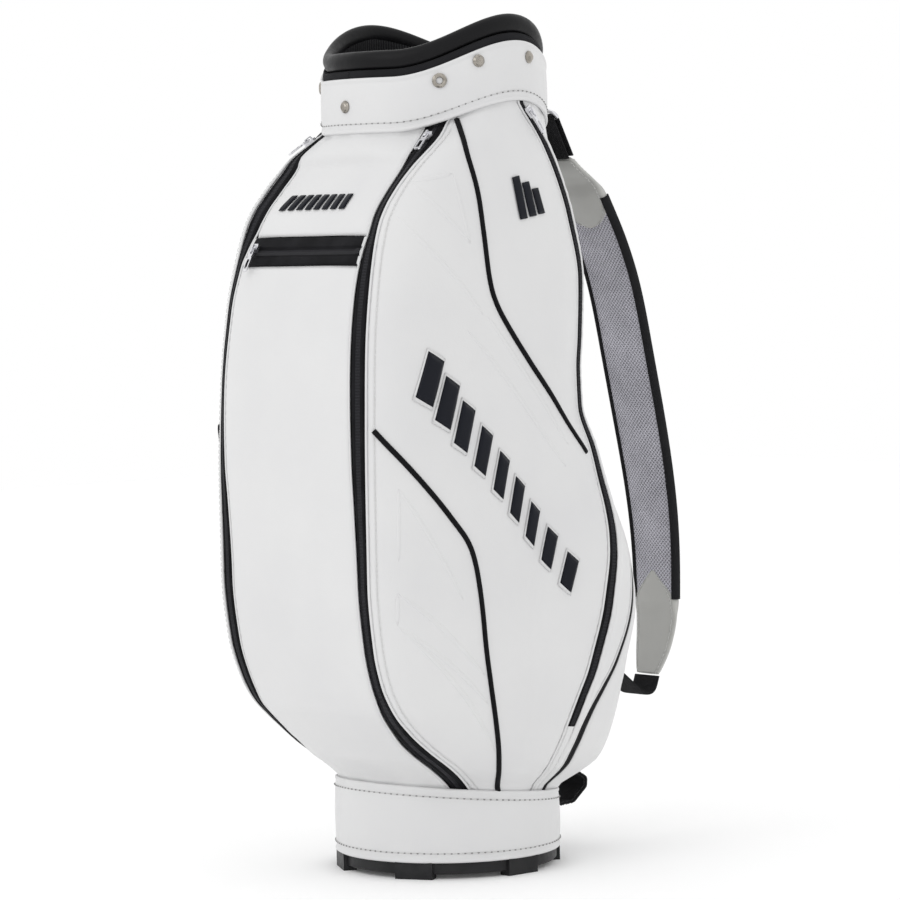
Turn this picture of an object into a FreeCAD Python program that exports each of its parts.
import FreeCAD, Part
import math
import os
import Sketcher

# Golf staff bag, millimetres.  Origin: centre of the bag on the floor.
# +Z runs up the tube, -Y is the front pocket, +Y the spine with the carrying strap.
# Bearings are degrees round the tube, counted from the front: 0 front, 90 right side, 180 spine.

Vector = FreeCAD.Vector

DIMENSIONS = (
    ("tray_radius", 116.5), ("tray_wall", 4.0), ("tray_foot", 5.0), ("tray_floor", 4.0),
    ("tray_height", 34.0), ("lug_radius", 118.6), ("lug_width", 41.0), ("lug_top", 18.0),
    ("lug_count", 6), ("centre_foot", 30.0), ("tube_radius", 112.0), ("tube_wall", 3.0), ("tube_foot", 9.4),
    ("tube_top", 838.0), ("band_radius", 120.0), ("band_wall", 3.0), ("band_low", 19.0),
    ("band_high", 87.0), ("band_tilt", 12.0), ("cuff_radius", 120.0), ("cuff_wall", 2.9),
    ("cuff_low", 783.0), ("cuff_high", 838.0), ("wave_low", 32.0), ("wave_high", 37.0),
    ("skin_radius", 116.5), ("skin_thickness", 3.0), ("seam_gap", 0.4), ("front_reach", 220.0),
    ("side_reach", 153.0), ("rear_reach", 206.0), ("spine_reach", 121.0), ("flange_low", 62.0),
    ("flange_high", 795.0), ("rim_radius", 110.2), ("rim_height", 857.5), ("rim_tall", 9.5),
    ("rim_thick", 6.4), ("pouch_low", 645.0), ("pouch_high", 676.0), ("divider_y", 36.0),
    ("divider_sheet", 1.5), ("divider_low", 9.6), ("divider_bar", 8.0), ("frame_low", 824.0),
    ("cross_reach", 97.0), ("centre_reach", 103.5), ("sheet_gap", 1.5), ("liner_foot", 790.0),
    ("frame_high", 838.0), ("frame_radius", 105.0), ("frame_wall", 4.0), ("slider_long", 13.0),
    ("slider_wide", 9.0), ("slider_thick", 2.8), ("bridge_high", 6.4), ("bridge_wide", 2.4),
    ("pull_long", 27.0), ("pull_wide", 7.0), ("pull_thick", 1.5), ("pull_axis", 4.0),
    ("pivot_y", 141.0), ("hanger_high", 816.0), ("hanger_low", 244.0), ("hanger_wide", 30.0),
    ("hanger_tall", 30.0), ("hanger_plate", 2.0), ("hanger_lug", 3.0), ("hanger_gap", 6.0),
    ("lug_tip", 5.0), ("pin_radius", 2.2),
    ("strap_wide", 74.0), ("strap_thick", 12.0), ("web_wide", 38.0), ("web_thick", 2.2),
    ("ring_wire", 2.0), ("stud_radius", 6.5), ("stud_high", 3.4), ("grip_wide", 30.0),
)

document = FreeCAD.newDocument("golf_bag")
sheet = document.addObject("Spreadsheet::Sheet", "dims")
for row, (alias, value) in enumerate(DIMENSIONS, start=1):
    sheet.set("A%d" % row, alias)
    sheet.set("B%d" % row, "%g" % value)
    sheet.setAlias("B%d" % row, alias)
document.recompute()

NODES = []


def size(expression):
    """Value of an expression in which every driving dimension goes by its own name."""
    return float(sheet.evalExpression(expression))


def bound(expression):
    """The same expression as other objects see it, with the sheet's name in front."""
    words = []
    for word in expression.replace("(", " ( ").replace(")", " ) ").split():
        known = word.lstrip("-") in dict(DIMENSIONS)
        words.append(("-dims." if word.startswith("-") else "dims.") + word.lstrip("-") if known else word)
    return " ".join(words)


def keep(obj, label):
    obj.Label = label
    NODES.append(obj)
    return obj


def shaped(label, shape, placement=FreeCAD.Placement()):
    """A sewn or bent piece whose shape comes straight from Part's functions."""
    feature = document.addObject("Part::Feature", label)
    feature.Shape = shape
    feature.Placement = placement
    return keep(feature, label)


# ---------------------------------------------------------------- sketches and bodies

def new_body(label):
    return keep(document.addObject("PartDesign::Body", label), label)


def sketch_on(body, role, name, lift="0"):
    """A sketch on one of the body's own origin planes, lifted along the plane's normal."""
    plane = [item for item in body.Origin.OriginFeatures if item.Role == role][0]
    sketch = body.newObject("Sketcher::SketchObject", body.Label + "_" + name)
    sketch.AttachmentSupport = [(plane, "")]
    sketch.MapMode = "FlatFace"
    sketch.setExpression("AttachmentOffset.Base.z", bound(lift))
    return sketch


def pin_point(sketch, geometry, end, across, up):
    """Hold one point of a sketch at a pair of expressions."""
    for axis, kind, expression in ((-2, "DistanceX", across), (-1, "DistanceY", up)):
        if expression == "0":
            sketch.addConstraint(Sketcher.Constraint("PointOnObject", geometry, end, axis))
            continue
        index = sketch.addConstraint(
            Sketcher.Constraint(kind, -1, 1, geometry, end, size(expression)))
        sketch.setExpression("Constraints[%d]" % index, bound(expression))


def polygon(sketch, corners):
    """Closed outline through corners given as pairs of expressions."""
    first = sketch.GeometryCount
    points = [Vector(size(across), size(up), 0) for across, up in corners]
    count = len(points)
    for index in range(count):
        sketch.addGeometry(Part.LineSegment(points[index], points[(index + 1) % count]))
    for index in range(count):
        following = first + (index + 1) % count
        sketch.addConstraint(Sketcher.Constraint("Coincident", first + index, 2, following, 1))
    for index, (across, up) in enumerate(corners):
        pin_point(sketch, first + index, 1, across, up)


def circle(sketch, across, up, radius):
    index = sketch.addGeometry(
        Part.Circle(Vector(size(across), size(up), 0), Vector(0, 0, 1), size(radius)))
    pin_point(sketch, index, 3, across, up)
    limit = sketch.addConstraint(Sketcher.Constraint("Radius", index, size(radius)))
    sketch.setExpression("Constraints[%d]" % limit, bound(radius))


def box_corners(left, low, right, high):
    return ((left, low), (right, low), (right, high), (left, high))


def pad(body, sketch, length, middle=False):
    feature = body.newObject("PartDesign::Pad", sketch.Name + "_pad")
    feature.Profile = sketch
    feature.setExpression("Length", bound(length))
    feature.Midplane = middle
    body.Tip = feature
    return feature


def revolve(body, sketch):
    feature = body.newObject("PartDesign::Revolution", sketch.Name + "_turn")
    feature.Profile = sketch
    feature.ReferenceAxis = (sketch, ["V_Axis"])
    feature.Angle = 360
    body.Tip = feature
    return feature


# ---------------------------------------------------------------- freeform solids

def surface(rows):
    patch = Part.BSplineSurface()
    patch.interpolate(rows)
    return patch


def drape(rows):
    """Smooth surface that hangs on a net of points and follows them without ripples."""
    patch = Part.BSplineSurface()
    turns = []
    for count in (len(rows), len(rows[0])):
        spans = count - 3
        turns.append(([4] + [1] * (spans - 1) + [4], list(range(spans + 1))))
    (row_mults, row_knots), (column_mults, column_knots) = turns
    patch.buildFromPolesMultsKnots(rows, row_mults, column_mults, row_knots, column_knots,
                                   False, False, 3, 3)
    return patch


def close_up(faces):
    """Sew faces into one solid that is the right way out."""
    shell = Part.makeShell(faces)
    shell.sewShape()
    solid = Part.makeSolid(Part.Shell(shell.Faces))
    if solid.Volume < 0:
        solid.reverse()
    return solid


def rims(patch):
    """The four border edges of a patch."""
    low_u, high_u, low_v, high_v = patch.bounds()
    curves = (patch.uIso(low_u), patch.uIso(high_u), patch.vIso(low_v), patch.vIso(high_v))
    return [curve.toShape() for curve in curves]


def slab(outer_rows, inner_rows, make=surface):
    """Solid between two grids of points that have the same number of rows and columns."""
    outer = make(outer_rows)
    inner = make(inner_rows)
    faces = [outer.toShape(), inner.toShape()]
    for outer_edge, inner_edge in zip(rims(outer), rims(inner)):
        faces.append(Part.makeRuledSurface(outer_edge, inner_edge))
    return close_up(faces)


def spread(low, high, steps):
    return [low + (high - low) * index / steps for index in range(steps + 1)]


def ease(amount):
    """Smooth step from 0 to 1."""
    amount = min(max(amount, 0.0), 1.0)
    return amount * amount * (3.0 - 2.0 * amount)


def along(stations, place):
    """Smooth curve through (place, value) stations, without overshoot."""
    if place <= stations[0][0]:
        return stations[0][1]
    if place >= stations[-1][0]:
        return stations[-1][1]
    slopes = [(b[1] - a[1]) / (b[0] - a[0]) for a, b in zip(stations, stations[1:])]
    leans = [slopes[0]]
    for before, after in zip(slopes, slopes[1:]):
        leans.append(0.0 if before * after <= 0 else 2 * before * after / (before + after))
    leans.append(slopes[-1])
    for index in range(len(slopes)):
        start, end = stations[index], stations[index + 1]
        if place <= end[0]:
            run = end[0] - start[0]
            part = (place - start[0]) / run
            rise = part * part * (3 - 2 * part)
            ramp_in = part * (1 - part) ** 2 * run * leans[index]
            ramp_out = part * part * (part - 1) * run * leans[index + 1]
            return start[1] + (end[1] - start[1]) * rise + ramp_in + ramp_out


def polar(bearing, radius, height):
    angle = math.radians(bearing)
    return Vector(radius * math.sin(angle), -radius * math.cos(angle), height)


# ---------------------------------------------------------------- outside shape of the bag

# How far each part of the outline has swelled out at a height: 0 at the tube, 1 at its reach.
FRONT_SWELL = ((103, 0), (112, 0.14), (121, 0.28), (129, 0.36), (148, 0.46), (167, 0.6), (186, 0.73),
               (205, 0.81), (250, 0.93), (320, 1), (400, 1), (520, 0.96), (600, 0.87), (645, 0.77),
               (685, 0.66), (704, 0.56), (723, 0.4), (742, 0.24), (760, 0.14), (778, 0))
SIDE_SWELL = ((103, 0), (112, 0.18), (121, 0.38), (150, 0.68), (220, 0.92), (340, 1), (440, 1),
              (530, 0.92), (630, 0.81), (690, 0.59), (741, 0.34), (766, 0.12), (778, 0))
REAR_SWELL = ((103, 0), (112, 0.18), (121, 0.37), (130, 0.52), (155, 0.68), (221, 0.88), (280, 1),
              (325, 0.945), (354, 0.87), (385, 0.75), (411, 0.64), (445, 0.52), (490, 0.35),
              (530, 0.335), (564, 0.36), (627, 0.385), (690, 0.28), (725, 0.16), (758, 0.04), (778, 0))
BOX_CORNER = ((103, 2), (112, 2.2), (121, 2.4), (143, 2.9), (164, 3.5), (186, 4.2), (215, 4.8),
              (260, 5.2), (725, 5.4), (750, 4.4), (766, 2.8), (778, 2))

# Bearing of each seam at a height.
FRONT_SEAM = ((62, 60), (90, 52.6), (118, 41.6), (128, 37.8), (137, 34.6), (147, 32.1), (157, 30.7),
              (176, 29), (196, 27.9), (216, 27.1), (250, 26.4), (320, 25.7), (560, 25.1), (620, 25.6),
              (655, 26.4), (675, 27.2), (695, 27.9), (715, 29.8), (745, 34.7), (765, 38.9), (795, 46))
SIDE_SEAM = ((62, 70), (91, 62.9), (119, 52.1), (129, 47.9), (138, 44), (148, 40.5), (157, 38), (167, 36),
             (177, 34.4), (195, 32.6), (215, 31.3), (250, 30.3), (320, 29.6), (560, 29.7), (620, 30.2),
             (655, 30.7), (685, 31.7), (704, 33.2), (723, 35.8), (742, 40.1), (759, 46.6), (767, 50.3),
             (795, 60))
REAR_ZIP = ((62, 100), (98, 101), (130, 102), (153, 104.6), (182, 108.2), (215, 111.9), (250, 114),
            (293, 116.7), (328, 120), (401, 126), (470, 130), (530, 132), (630, 131), (680, 128),
            (715, 124), (742, 115), (776, 101), (795, 98))
SPINE_SEAM = ((62, 110), (98, 109.8), (130, 109.5), (152, 111.5), (173, 115), (195, 120), (219, 125),
              (245, 128), (280, 130.6), (340, 138), (440, 150), (590, 152), (795, 152))

# How far the front panel lies behind the front edges of the side panels.
FRONT_SET_BACK = ((103, 0), (112, 5), (121, 9), (137, 8), (150, 5), (176, 5), (200, 7), (320, 6.5),
                  (400, 3), (440, 0), (520, -2.5), (600, -2), (645, 0), (662, 4), (685, 10.5),
                  (715, 12.5), (745, 13), (762, 5), (778, 0))
REAR_ZIP_WIDE = 9.5
SPINE_SEAM_WIDE = 10.5
HUMP_BEARING = 96.0
HUMP_SPREAD = 70.0
CHEEK_BEARING = 138.0
SIDE_BEARING = 84.0
LEVELS = (62, 80, 92, 98, 103, 108, 114, 121, 130, 140, 155, 178, 202, 230, 262, 300, 345, 390, 435,
          480, 530, 580, 630, 660, 688, 710, 730, 747, 761, 772, 779, 785, 790, 795)


def hump(bearing):
    """Side waves of the cuff: 1 at the two peaks, 0 round the front and the spine."""
    offset = abs(abs(bearing) - HUMP_BEARING)
    if offset >= HUMP_SPREAD:
        return 0.0
    return math.cos(math.radians(offset * 90.0 / HUMP_SPREAD)) ** 2


def skin_height(bearing, level):
    """Real height of a level: the levels follow the tilted base band and the wavy cuff."""
    top = size("wave_low") * hump(bearing) * ease((level - 640.0) / 143.0)
    drop = size("band_tilt") * (math.cos(math.radians(bearing)) - 1.0)
    return level + top + drop * ease((202.0 - level) / 103.0)


def set_back(turn, level):
    """Depth of the front panel; the zip gusset beside it climbs out of that depth."""
    outer = along(SIDE_SEAM, level)
    climb = (outer - turn) / (outer - along(FRONT_SEAM, level))
    return along(FRONT_SET_BACK, level) * min(max(climb, 0.0), 1.0)


def skin_radius(bearing, level):
    """Outside radius of the sewn skin."""
    tube = size("skin_radius")
    front = tube + (size("front_reach") - tube) * along(FRONT_SWELL, level)
    side = tube + (size("side_reach") - tube) * along(SIDE_SWELL, level)
    cheek = tube + (size("rear_reach") - tube) * along(REAR_SWELL, level)
    spine = tube + (size("spine_reach") - tube) * min(along(FRONT_SWELL, level) * 2.0, 1.0)
    turn = abs(bearing)
    if turn <= 90.0:
        power = along(BOX_CORNER, level)
        across = abs(math.sin(math.radians(turn))) / side
        ahead = abs(math.cos(math.radians(turn))) / front
        radius = (across ** power + ahead ** power) ** (-1.0 / power) - set_back(turn, level)
        rise = ease((turn - SIDE_BEARING) / (CHEEK_BEARING - SIDE_BEARING))
        return radius + (cheek - side) * rise
    if turn <= CHEEK_BEARING:
        return side + (cheek - side) * ease((turn - SIDE_BEARING) / (CHEEK_BEARING - SIDE_BEARING))
    return cheek + (spine - cheek) * ease((turn - CHEEK_BEARING) / (180.0 - CHEEK_BEARING))


def skin_point(bearing, level, inset=0.0):
    signed = bearing if bearing <= 180.0 else bearing - 360.0
    return polar(bearing, skin_radius(signed, level) - inset, skin_height(signed, level))


def seam(stations, offset=0.0):
    """Bearing of a seam as a function of level, moved sideways by millimetres along the skin."""
    def bearing(level):
        place = along(stations, level)
        return place + math.degrees(offset / skin_radius(place, level))
    return bearing


def mirrored(line):
    return lambda level: -line(level)


def panel(first, last, columns, low=None, high=None):
    """Skin of one sewn panel between two seam lines and two levels."""
    low = size("flange_low") if low is None else low
    high = size("flange_high") if high is None else high
    levels = [low] + [level for level in LEVELS if low + 3 < level < high - 3] + [high]
    if len(levels) < 4:
        levels = spread(low, high, 3)
    outer = []
    inner = []
    for level in levels:
        bearings = spread(first(level), last(level), columns)
        outer.append([skin_point(bearing, level) for bearing in bearings])
        inner.append([skin_point(bearing, level, size("skin_thickness")) for bearing in bearings])
    return slab(outer, inner, drape)


def pocket_wall(line, low, high):
    """Fabric wall that ties a seam of the skin back to the tube."""
    levels = [low] + [level for level in LEVELS if low < level < high] + [high]
    sides = []
    for shift in (-0.6, 0.6):
        rows = []
        for level in levels:
            bearing = line(level)
            near = size("tube_radius + 0.4")
            far = skin_radius(bearing, level) - size("skin_thickness + 1.4")
            height = skin_height(bearing, level)
            across = Vector(math.cos(math.radians(bearing)), math.sin(math.radians(bearing)), 0) * shift
            rows.append([polar(bearing, radius, height) + across for radius in spread(near, far, 3)])
        sides.append(rows)
    return slab(sides[0], sides[1], drape)


def both_sides(name, build):
    """Make the right-hand piece and its mirror image."""
    right = build()
    shaped(name + "_right", right)
    shaped(name + "_left", right.mirror(Vector(0, 0, 0), Vector(1, 0, 0)))


def make_skin():
    half_gap = size("seam_gap / 2")
    front_edge = seam(FRONT_SEAM, -half_gap)
    shaped("front_panel_lower", panel(mirrored(front_edge), front_edge, 14,
                                      high=size("pouch_low - seam_gap")))
    shaped("front_panel_upper", panel(mirrored(front_edge), front_edge, 14,
                                      low=size("pouch_high + seam_gap")))
    shaped("accessory_zip_tape", panel(mirrored(front_edge), front_edge, 14,
                                       low=size("pouch_low"), high=size("pouch_high")))
    both_sides("front_zip_tape", lambda: panel(
        seam(FRONT_SEAM, half_gap), seam(SIDE_SEAM, -half_gap), 4))
    half_zip = REAR_ZIP_WIDE / 2
    both_sides("side_panel", lambda: panel(
        seam(SIDE_SEAM, half_gap), seam(REAR_ZIP, -half_zip - half_gap), 16))
    both_sides("rear_zip_tape", lambda: panel(
        seam(REAR_ZIP, half_gap - half_zip), seam(REAR_ZIP, half_zip - half_gap), 3))
    half_seam = SPINE_SEAM_WIDE / 2
    both_sides("rear_panel", lambda: panel(
        seam(REAR_ZIP, half_zip + half_gap), seam(SPINE_SEAM, -half_seam - half_gap), 8))
    both_sides("rear_gusset", lambda: panel(
        seam(SPINE_SEAM, half_gap - half_seam), seam(SPINE_SEAM, half_seam - half_gap), 3))
    spine_edge = seam(SPINE_SEAM, half_seam + half_gap)
    shaped("back_panel", panel(spine_edge, lambda level: 360.0 - spine_edge(level), 18))
    both_sides("front_pocket_wall", lambda: pocket_wall(seam(SIDE_SEAM), 121, 762))
    both_sides("rear_pocket_wall", lambda: pocket_wall(seam(SPINE_SEAM), 124, 740))


# ---------------------------------------------------------------- rings round the tube

def wave_ring(inner, outer, low, high, bulge=0.0, rows=4):
    """Ring whose lower and upper edges are functions of the bearing."""
    faces = []
    for start in (-180.0, 0.0):
        bearings = spread(start, start + 180.0, 24)
        walls = []
        for radius, swell in ((outer, bulge), (inner, 0.0)):
            grid = []
            for part in spread(0.0, 1.0, rows):
                wide = radius + swell * (1.0 - (2.0 * part - 1.0) ** 2)
                grid.append([polar(bearing, wide, low(bearing) + (high(bearing) - low(bearing)) * part)
                             for bearing in bearings])
            walls.append(grid)
        patches = [surface(grid) for grid in walls]
        faces.extend(patch.toShape() for patch in patches)
        for outer_edge, inner_edge in list(zip(rims(patches[0]), rims(patches[1])))[:2]:
            faces.append(Part.makeRuledSurface(outer_edge, inner_edge))
    return close_up(faces)


def waved(base, wave):
    """Edge height that follows the two side waves of the cuff."""
    return lambda bearing: size(base) + size(wave) * hump(bearing)


def make_rings():
    shaped("base_band", wave_ring(
        size("band_radius - band_wall"), size("band_radius"), lambda bearing: size("band_low"),
        lambda bearing: size("band_high") + size("band_tilt") * math.cos(math.radians(bearing)),
        bulge=1.0))
    shaped("cuff_band", wave_ring(
        size("cuff_radius - cuff_wall"), size("cuff_radius"),
        waved("cuff_low", "wave_low"), waved("cuff_high", "wave_high"), bulge=0.8))
    shaped("cuff_trim", wave_ring(
        size("tube_radius + 1.6"), size("cuff_radius - cuff_wall - 0.3"),
        waved("cuff_high - 8", "wave_high"), waved("cuff_high + 9.2", "wave_high")))
    shaped("top_collar", wave_ring(
        size("tube_radius - tube_wall"), size("tube_radius + 1.2"),
        lambda bearing: size("tube_top + 0.4"), waved("rim_height - rim_tall - 0.6", "wave_high")))
    shaped("cuff_liner", wave_ring(
        size("frame_radius + 0.4"), size("tube_radius - tube_wall - 0.4"),
        lambda bearing: size("liner_foot"), waved("rim_height - rim_tall - 0.6", "wave_high")))
    make_rim_roll()


def make_rim_roll():
    """Padded roll that caps the mouth: an oval section carried round the wavy edge."""
    faces = []
    centre_height = waved("rim_height", "wave_high")
    for start in (-180.0, 0.0):
        for half in (0.0, 180.0):
            rows = []
            for turn in spread(half, half + 180.0, 8):
                out = size("rim_thick") * math.cos(math.radians(turn))
                rise = size("rim_tall") * math.sin(math.radians(turn))
                rows.append([polar(bearing, size("rim_radius") + out, centre_height(bearing) + rise)
                             for bearing in spread(start, start + 180.0, 24)])
            faces.append(surface(rows).toShape())
    shaped("rim_roll", close_up(faces))


# ---------------------------------------------------------------- base, tube and dividers

def make_base_tray():
    body = new_body("base_tray")
    profile = sketch_on(body, "XZ_Plane", "profile")
    polygon(profile, (("0", "0"), ("centre_foot", "0"), ("centre_foot + 2", "tray_foot"),
                      ("tray_radius - 1.5", "tray_foot"),
                      ("tray_radius", "tray_foot + 1.5"), ("tray_radius", "tray_height"),
                      ("tray_radius - tray_wall", "tray_height"),
                      ("tray_radius - tray_wall", "tray_foot + tray_floor"),
                      ("0", "tray_foot + tray_floor")))
    revolve(body, profile)
    foot = sketch_on(body, "XY_Plane", "foot")
    polygon(foot, box_corners("-lug_width / 2", "tray_radius - 12", "lug_width / 2", "lug_radius"))
    foot_pad = pad(body, foot, "tray_foot + 1")
    lug = sketch_on(body, "XY_Plane", "lug")
    polygon(lug, box_corners("-lug_width / 2", "tray_radius - 3", "lug_width / 2", "lug_radius"))
    lug_pad = pad(body, lug, "lug_top")
    pattern = body.newObject("PartDesign::PolarPattern", "lug_pattern")
    pattern.Originals = [foot_pad, lug_pad]
    axis = [item for item in body.Origin.OriginFeatures if item.Role == "Z_Axis"][0]
    pattern.Axis = (axis, [""])
    pattern.Angle = 360
    pattern.setExpression("Occurrences", bound("lug_count"))
    body.Tip = pattern
    body.Placement = FreeCAD.Placement(Vector(), FreeCAD.Rotation(Vector(0, 0, 1), 30))


def make_tube():
    body = new_body("body_tube")
    ring = sketch_on(body, "XY_Plane", "ring", "tube_foot")
    circle(ring, "0", "0", "tube_radius")
    circle(ring, "0", "0", "tube_radius - tube_wall")
    pad(body, ring, "tube_top - tube_foot")


def make_divider_frame():
    """Moulded frame in the mouth: a ring, two cross bars and a centre bar."""
    body = new_body("divider_frame")
    ring = sketch_on(body, "XY_Plane", "ring", "frame_low")
    circle(ring, "0", "0", "frame_radius")
    circle(ring, "0", "0", "frame_radius - frame_wall")
    pad(body, ring, "frame_high - frame_low")
    half = "divider_bar / 2"
    bars = (("front_bar", "-cross_reach", "-divider_y - " + half, "cross_reach", "-divider_y + " + half),
            ("rear_bar", "-cross_reach", "divider_y - " + half, "cross_reach", "divider_y + " + half),
            ("centre_bar", "-" + half, "-frame_radius + 2", half, "frame_radius - 2"))
    for name, left, low, right, high in bars:
        bar = sketch_on(body, "XY_Plane", name, "frame_low")
        polygon(bar, box_corners(left, low, right, high))
        pad(body, bar, "frame_high - frame_low")


def make_divider_sheets():
    """Full-length fabric sheets that part the tube into six wells."""
    across = ("2 * cross_reach", "divider_sheet", "-cross_reach")
    outer = "centre_reach - divider_y - sheet_gap"
    layout = (
        ("divider_sheet_front", *across, "-divider_y - divider_sheet / 2"),
        ("divider_sheet_rear", *across, "divider_y - divider_sheet / 2"),
        ("divider_sheet_centre_front", "divider_sheet", outer, "-divider_sheet / 2", "-centre_reach"),
        ("divider_sheet_centre_middle", "divider_sheet", "2 * divider_y - 2 * sheet_gap",
         "-divider_sheet / 2", "sheet_gap - divider_y"),
        ("divider_sheet_centre_rear", "divider_sheet", outer, "-divider_sheet / 2", "divider_y + sheet_gap"))
    for label, length, width, left, front in layout:
        board = keep(document.addObject("Part::Box", label), label)
        board.setExpression("Length", bound(length))
        board.setExpression("Width", bound(width))
        board.setExpression("Height", bound("frame_low - 0.4 - divider_low"))
        board.setExpression("Placement.Base.x", bound(left))
        board.setExpression("Placement.Base.y", bound(front))
        board.setExpression("Placement.Base.z", bound("divider_low"))


# ---------------------------------------------------------------- studs on the cuff

STUDS = ((-2.0, 810.0), (71.0, 854.0), (104.0, 859.0), (-71.0, 854.0), (-104.0, 859.0))
EYELETS = ((51.0, 834.0), (-51.0, 834.0))


def cuff_face(bearing, height):
    """Radius of the bulged cuff at a height."""
    low = waved("cuff_low", "wave_low")(bearing)
    high = waved("cuff_high", "wave_high")(bearing)
    part = (height - low) / (high - low)
    return size("cuff_radius") + 0.8 * (1.0 - (2.0 * part - 1.0) ** 2)


def standing_on_cuff(outline, bearing, height):
    """Turn an outline about its own axis and stand it on the cuff."""
    face = Part.Face(Part.makePolygon([Vector(radius, 0, rise) for radius, rise in outline]))
    solid = face.revolve(Vector(), Vector(0, 0, 1), 360)
    outward = polar(bearing, 1.0, 0.0)
    foot = polar(bearing, cuff_face(bearing, height) + 0.5, height)
    solid.Placement = FreeCAD.Placement(foot, FreeCAD.Rotation(Vector(0, 0, 1), outward))
    return solid


def make_studs():
    wide = size("stud_radius")
    high = size("stud_high")
    cap = ((0, 0), (wide, 0), (wide, 0.8), (wide - 1.2, 1.8), (wide - 2.0, high - 0.6),
           (wide - 3.0, high), (0, high), (0, 0))
    rim = ((wide - 3.2, 0), (wide + 1.2, 0), (wide + 1.2, 1.0), (wide - 0.6, 2.4),
           (wide - 2.4, 1.8), (wide - 3.2, 0))
    shaped("cuff_snaps", Part.makeCompound([standing_on_cuff(cap, *place) for place in STUDS]))
    shaped("cuff_eyelets", Part.makeCompound([standing_on_cuff(rim, *place) for place in EYELETS]))


# ---------------------------------------------------------------- zip sliders and pulls

def make_slider(label, placement):
    body = new_body(label)
    base = sketch_on(body, "XY_Plane", "base")
    polygon(base, (("-slider_long / 2", "-slider_wide / 2 + 1"), ("-slider_long / 2 + 3", "-slider_wide / 2"),
                   ("slider_long / 2", "-slider_wide / 2 + 2"), ("slider_long / 2", "slider_wide / 2 - 2"),
                   ("-slider_long / 2 + 3", "slider_wide / 2"), ("-slider_long / 2", "slider_wide / 2 - 1")))
    pad(body, base, "slider_thick")
    bridge = sketch_on(body, "XZ_Plane", "bridge")
    polygon(bridge, (("-5", "slider_thick - 0.5"), ("-4", "bridge_high"), ("4", "bridge_high"),
                     ("5", "slider_thick - 0.5"), ("3.4", "slider_thick - 0.5"),
                     ("3", "bridge_high - 1.2"), ("-3", "bridge_high - 1.2"),
                     ("-3.4", "slider_thick - 0.5")))
    pad(body, bridge, "bridge_wide", middle=True)
    body.Placement = placement


def make_pull(label, placement):
    """Flat pull: an eye round the slider's bridge, a neck and a grip with a window."""
    body = new_body(label)
    plate = sketch_on(body, "XY_Plane", "plate", "pull_axis - pull_thick / 2")
    polygon(plate, (("-pull_thick / 2", "-pull_wide / 2 + 0.4"), ("7.4", "-pull_wide / 2 + 0.4"),
                    ("9.4", "-pull_wide / 2 + 1.2"), ("11", "-pull_wide / 2"),
                    ("pull_long - 1.5", "-pull_wide / 2"), ("pull_long", "-pull_wide / 2 + 1.5"),
                    ("pull_long", "pull_wide / 2 - 1.5"), ("pull_long - 1.5", "pull_wide / 2"),
                    ("11", "pull_wide / 2"), ("9.4", "pull_wide / 2 - 1.2"),
                    ("7.4", "pull_wide / 2 - 0.4"), ("-pull_thick / 2", "pull_wide / 2 - 0.4")))
    polygon(plate, box_corners("pull_thick / 2", "-1.7", "6.6", "1.7"))
    polygon(plate, box_corners("12.5", "-1.8", "pull_long - 3", "1.8"))
    pad(body, plate, "pull_thick")
    body.Placement = placement


def on_skin(line, level, lift):
    """Placement on the skin: x runs down the seam, z points away from the bag."""
    here = skin_point(line(level), level)
    down = skin_point(line(level - 4), level - 4) - skin_point(line(level + 4), level + 4)
    down.normalize()
    across = skin_point(line(level) + 1.5, level) - skin_point(line(level) - 1.5, level)
    outward = across.cross(down)
    if outward.dot(Vector(here.x, here.y, 0)) < 0:
        outward = -outward
    outward.normalize()
    turn = FreeCAD.Rotation(down, outward.cross(down), outward, "XZY")
    return FreeCAD.Placement(here + outward * lift, turn)


def middle_of(first, last):
    return lambda level: (first(level) + last(level)) / 2.0


FRONT_ZIP_REST = 768.0
REAR_ZIP_REST = 770.0
POUCH_REST_X = -72.0
SLIDER_LIFT = 2.6
POUCH_LIFT = 2.8


def slider_places():
    """Name and placement of every zip slider with the zips closed."""
    front = middle_of(seam(FRONT_SEAM), seam(SIDE_SEAM))
    rear = seam(REAR_ZIP)
    pouch_level = size("(pouch_low + pouch_high) / 2")
    bearing = 0.0
    while skin_point(-bearing, pouch_level).x > POUCH_REST_X:
        bearing += 0.05
    pouch = on_skin(lambda level: 0.0, pouch_level, 0.0)
    outward = pouch.Rotation.multVec(Vector(0, 0, 1))
    pouch.Base = skin_point(-bearing, pouch_level) + outward * POUCH_LIFT
    return (("front_zip_right", on_skin(front, FRONT_ZIP_REST, SLIDER_LIFT)),
            ("front_zip_left", on_skin(mirrored(front), FRONT_ZIP_REST, SLIDER_LIFT)),
            ("rear_zip_right", on_skin(rear, REAR_ZIP_REST, SLIDER_LIFT)),
            ("rear_zip_left", on_skin(mirrored(rear), REAR_ZIP_REST, SLIDER_LIFT)),
            ("accessory_zip", pouch))


def make_zips():
    for name, placement in slider_places():
        make_slider(name + "_slider", placement)
        make_pull(name + "_pull", placement)


# ---------------------------------------------------------------- strap, its hangers and rings

TOP_HANGER_BACK = 123.4
LOW_HANGER_BACK = 128.6
RING_REACH = 25.0
RING_SHOULDER = 8.0
EYE_RADIUS = 5.4
EYE_TALL = 9.0
NECK_HALF = 7.0


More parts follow.
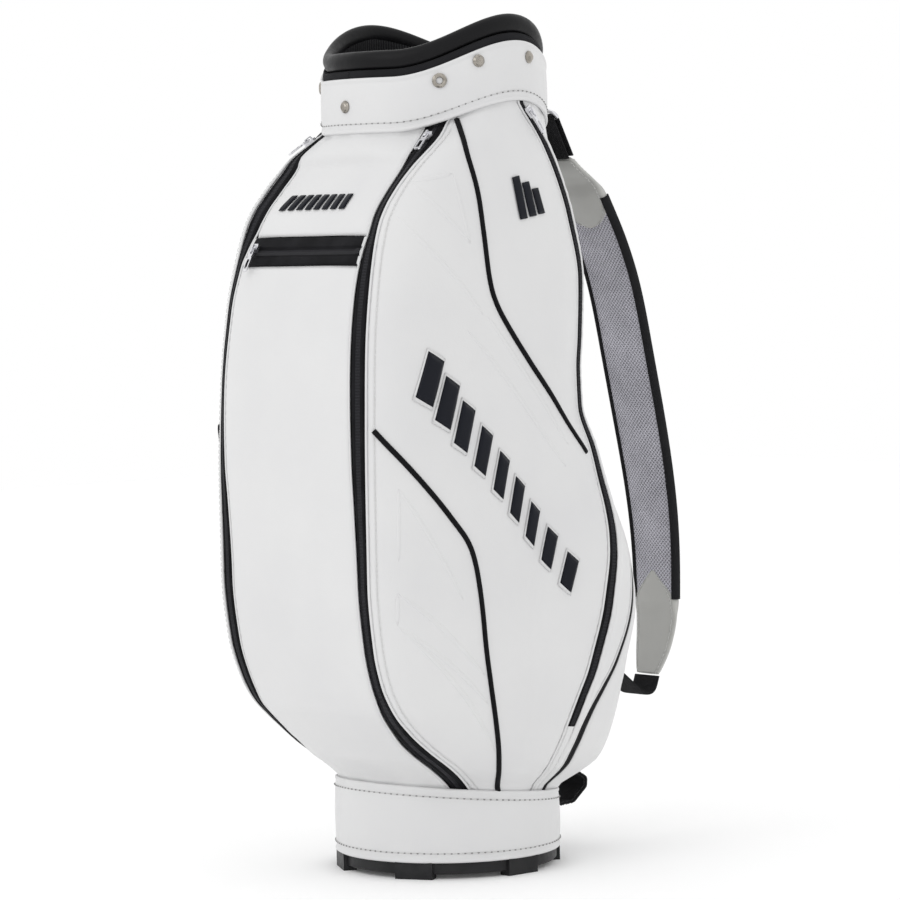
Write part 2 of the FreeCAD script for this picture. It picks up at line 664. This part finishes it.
def make_hanger(label, height, back_y):
    """Riveted plate with two lugs that hold an upright swivel pin."""
    body = new_body(label)
    plate = sketch_on(body, "XZ_Plane", "plate")
    polygon(plate, box_corners("-hanger_wide / 2", "-hanger_tall / 2", "hanger_wide / 2", "hanger_tall / 2"))
    pad(body, plate, "hanger_plate")
    for name, lift in (("upper_lug", "hanger_gap"), ("lower_lug", "-hanger_gap - hanger_lug")):
        lug = sketch_on(body, "XY_Plane", name, lift)
        reach = "pivot_y + lug_tip - %g" % back_y
        polygon(lug, (("-hanger_wide / 2 + 2", "-hanger_plate + 0.2"), ("-lug_tip", reach),
                      ("lug_tip", reach), ("hanger_wide / 2 - 2", "-hanger_plate + 0.2")))
        pad(body, lug, "hanger_lug")
    pin = sketch_on(body, "XY_Plane", "pin", "-hanger_gap - 1")
    circle(pin, "0", "pivot_y - %g" % back_y, "pin_radius")
    pad(body, pin, "2 * hanger_gap + 2")
    body.setExpression("Placement.Base.y", "%g" % back_y)
    body.setExpression("Placement.Base.z", bound(height))


def pipe(points, radius, closed=True, bend=4.0):
    """Round wire bent along a polygon, with rounded corners."""
    path = round_corners(points, bend, closed)
    start = path.Edges[0]
    profile = Part.Wire(Part.makeCircle(radius, start.valueAt(start.FirstParameter),
                                        start.tangentAt(start.FirstParameter)))
    return path.makePipeShell([profile], True, False, 2)


def webbing(path, bend, width, thickness):
    """Flat web of one width carried along a (y, z) polygon with rounded bends."""
    points = [Vector(0, y, z) for y, z in path]
    spine = round_corners(points, bend, False)
    start = points[0]
    along_path = (points[1] - points[0]).normalize()
    up = Vector(0, -along_path.z, along_path.y) * (thickness / 2.0)
    half = Vector(width / 2.0, 0, 0)
    corners = [start + half + up, start - half + up, start - half - up, start + half - up]
    profile = Part.makePolygon(corners + corners[:1])
    return spine.makePipeShell([profile], True, False, 2)


def round_corners(points, bend, closed):
    """Wire of straight runs joined by circular arcs of one radius."""
    count = len(points)
    corners = range(count) if closed else range(1, count - 1)
    cuts = {}
    for index in corners:
        here = points[index]
        before = (points[index - 1] - here).normalize()
        after = (points[(index + 1) % count] - here).normalize()
        half = math.acos(max(-1.0, min(1.0, before.dot(after)))) / 2.0
        reach = bend / math.tan(half)
        middle = here + (before + after).normalize() * (bend / math.sin(half) - bend)
        cuts[index] = (here + before * reach, middle, here + after * reach)
    edges = []
    for index in range(count if closed else count - 1):
        following = (index + 1) % count
        start = cuts[index][2] if index in cuts else points[index]
        end = cuts[following][0] if following in cuts else points[following]
        edges.append(Part.LineSegment(start, end).toShape())
        if following in cuts:
            edges.append(Part.Arc(*cuts[following]).toShape())
    return Part.Wire(edges)


def swivel_ring(height, fall):
    """Ring with an eye on the swivel pin; its far bar carries the webbing."""
    out = Vector(0, math.cos(math.radians(fall)), -math.sin(math.radians(fall)))
    eye = Vector(0, size("pivot_y"), height)
    half = size("web_wide / 2 + 3.6")
    bar = eye + out * RING_REACH
    neck = eye + out * (EYE_RADIUS + 1.0)
    shoulder = bar - out * RING_SHOULDER
    wide = Vector(half, 0, 0)
    narrow = Vector(NECK_HALF, 0, 0)
    loop = pipe([bar + wide, bar - wide, shoulder - wide, neck - narrow, neck + narrow, shoulder + wide],
                size("ring_wire"), bend=3.0)
    barrel = Part.makeCylinder(EYE_RADIUS, EYE_TALL, eye - Vector(0, 0, EYE_TALL / 2))
    bore = Part.makeCylinder(size("pin_radius + 0.4"), 2 * EYE_TALL, eye - Vector(0, 0, EYE_TALL))
    return loop.fuse(barrel).cut(bore), bar


def ribbon(path, widths, thickness, crown=0.0, steps=24):
    """Flat strip in the spine plane along a (y, z) path; widths are (part of length, width)."""
    curve = Part.BSplineCurve()
    curve.interpolate([Vector(0, y, z) for y, z in path])
    length = curve.length()
    outer = []
    inner = []
    for part in spread(0.0, 1.0, steps):
        parameter = curve.parameterAtDistance(length * part)
        centre = curve.value(parameter)
        tangent = curve.tangent(parameter)[0]
        normal = Vector(0, tangent.z, -tangent.y).normalize()
        half = along(widths, part) / 2.0
        for rows, side in ((outer, 1.0), (inner, -1.0)):
            row = []
            for across in spread(-1.0, 1.0, 6):
                height = thickness / 2.0 + crown * (1.0 - across * across)
                row.append(centre + normal * side * height + Vector(half * across, 0, 0))
            rows.append(row)
    return slab(outer, inner)


def folded_path(bar, leg_end, legs=3.6):
    """Path of webbing that comes up to a ring's bar, turns over it and goes back down."""
    toward = (leg_end - bar).normalize()
    aside = Vector(0, -toward.z, toward.y) * legs
    corners = (leg_end + aside, bar - toward * legs + aside, bar - toward * legs - aside, leg_end - aside)
    return [(point.y, point.z) for point in corners]


PAD_PATH = ((218.9, 714.3), (233, 687), (259, 629), (281, 547), (302, 455), (319, 360), (323, 308),
            (323.5, 262))
TOP_LEATHER_PATH = ((184, 756), (193, 746), (206, 735), (218.1, 715.8))
LOW_LEATHER_PATH = ((323.5, 261.2), (322, 235), (316, 205), (307, 178))
LOW_WEB_PATH = ((306, 176), (296, 149), (196, 226))
TOP_FOLD_END = Vector(0, 183.1, 757.7)
LOW_FOLD_END = Vector(0, 195.4, 226.6)
FOLD_BEND = 3.4


def make_strap():
    top_ring, top_bar = swivel_ring(size("hanger_high"), 38.0)
    shaped("strap_ring_top", top_ring)
    low_ring, low_bar = swivel_ring(size("hanger_low"), 20.0)
    shaped("strap_ring_bottom", low_ring)
    web = size("web_wide")
    thin = size("web_thick")
    shaped("strap_web_top", webbing(folded_path(top_bar, TOP_FOLD_END), FOLD_BEND, web, thin))
    shaped("strap_end_top", ribbon(TOP_LEATHER_PATH, ((0, web + 6), (0.35, web + 14), (1, 68)),
                                   7.0, crown=0.6))
    wide = size("strap_wide")
    shaped("strap_pad", ribbon(PAD_PATH, ((0, wide - 4), (0.12, wide), (0.5, wide), (1, 64)),
                               size("strap_thick - 3.6"), crown=1.8, steps=30))
    shaped("strap_end_bottom", ribbon(LOW_LEATHER_PATH, ((0, 62), (0.4, 56), (1, web)), 7.0, crown=0.6))
    shaped("strap_web_bottom", webbing(LOW_WEB_PATH, 13.0, web, thin))
    shaped("strap_web_anchor", webbing(folded_path(low_bar, LOW_FOLD_END), FOLD_BEND, web, thin))
    make_adjuster()


def make_adjuster():
    """Keeper that clamps the free end of the lower webbing."""
    body = new_body("strap_adjuster")
    frame = sketch_on(body, "XZ_Plane", "frame")
    polygon(frame, box_corners("-web_wide / 2 - 4", "-4.5", "web_wide / 2 + 4", "4.5"))
    polygon(frame, box_corners("-web_wide / 2 - 1", "-2", "web_wide / 2 + 1", "2"))
    pad(body, frame, "12", middle=True)
    middle = Vector(0, 240, 192)
    lean = Vector(0, -44, 34).normalize()
    body.Placement = FreeCAD.Placement(middle, FreeCAD.Rotation(Vector(0, 1, 0), lean))


# ---------------------------------------------------------------- hand grips

HAUL_PATH = ((129, 787), (146, 779), (162, 758), (167, 732), (166, 700), (158, 668), (143, 650), (129, 641))
HAUL_TAB_HEIGHTS = (786.0, 640.0)
GRAB_PATH = ((129, 56), (150, 48), (170, 49), (189, 64), (190, 74), (178, 81), (147, 73), (129, 68))


def sewn_tab(width, height, thickness, front, middle):
    """Flat patch on the spine, centred on the bag's middle plane."""
    return Part.makeBox(width, thickness, height, Vector(-width / 2, front, middle - height / 2))


def make_grips():
    grip = size("grip_wide")
    widths = ((0, 9), (0.12, 22), (0.3, grip), (0.7, grip), (0.88, 22), (1, 9))
    shaped("haul_handle", ribbon(HAUL_PATH, widths, 5.0, crown=2.6, steps=36))
    tabs = [sewn_tab(26.0, 28.0, 2.4, 123.2, height) for height in HAUL_TAB_HEIGHTS]
    shaped("haul_handle_tabs", Part.makeCompound(tabs))
    shaped("grab_handle", webbing(GRAB_PATH, 4.5, 40.0, 2.2))
    shaped("grab_handle_patch", sewn_tab(50.0, 30.0, 2.2, 122.2, 61.0))


make_base_tray()
make_tube()
make_divider_frame()
make_divider_sheets()
make_rings()
make_skin()
make_studs()
make_zips()
make_hanger("strap_hanger_top", "hanger_high", TOP_HANGER_BACK)
make_hanger("strap_hanger_bottom", "hanger_low", LOW_HANGER_BACK)
make_strap()
make_grips()

document.recompute()
faults = []
for item in document.Objects:
    if "Invalid" in item.State or "Error" in item.State:
        faults.append(item.Label + " did not recompute")
for item in NODES:
    if item.Shape.isNull() or not item.Shape.isValid() or item.Shape.Volume <= 0:
        faults.append(item.Label + " has no valid solid")
if faults:
    raise RuntimeError("; ".join(faults))

os.makedirs("parts", exist_ok=True)
for item in NODES:
    item.Shape.exportStep("parts/" + item.Label + ".step")
print("wrote %d nodes" % len(NODES))
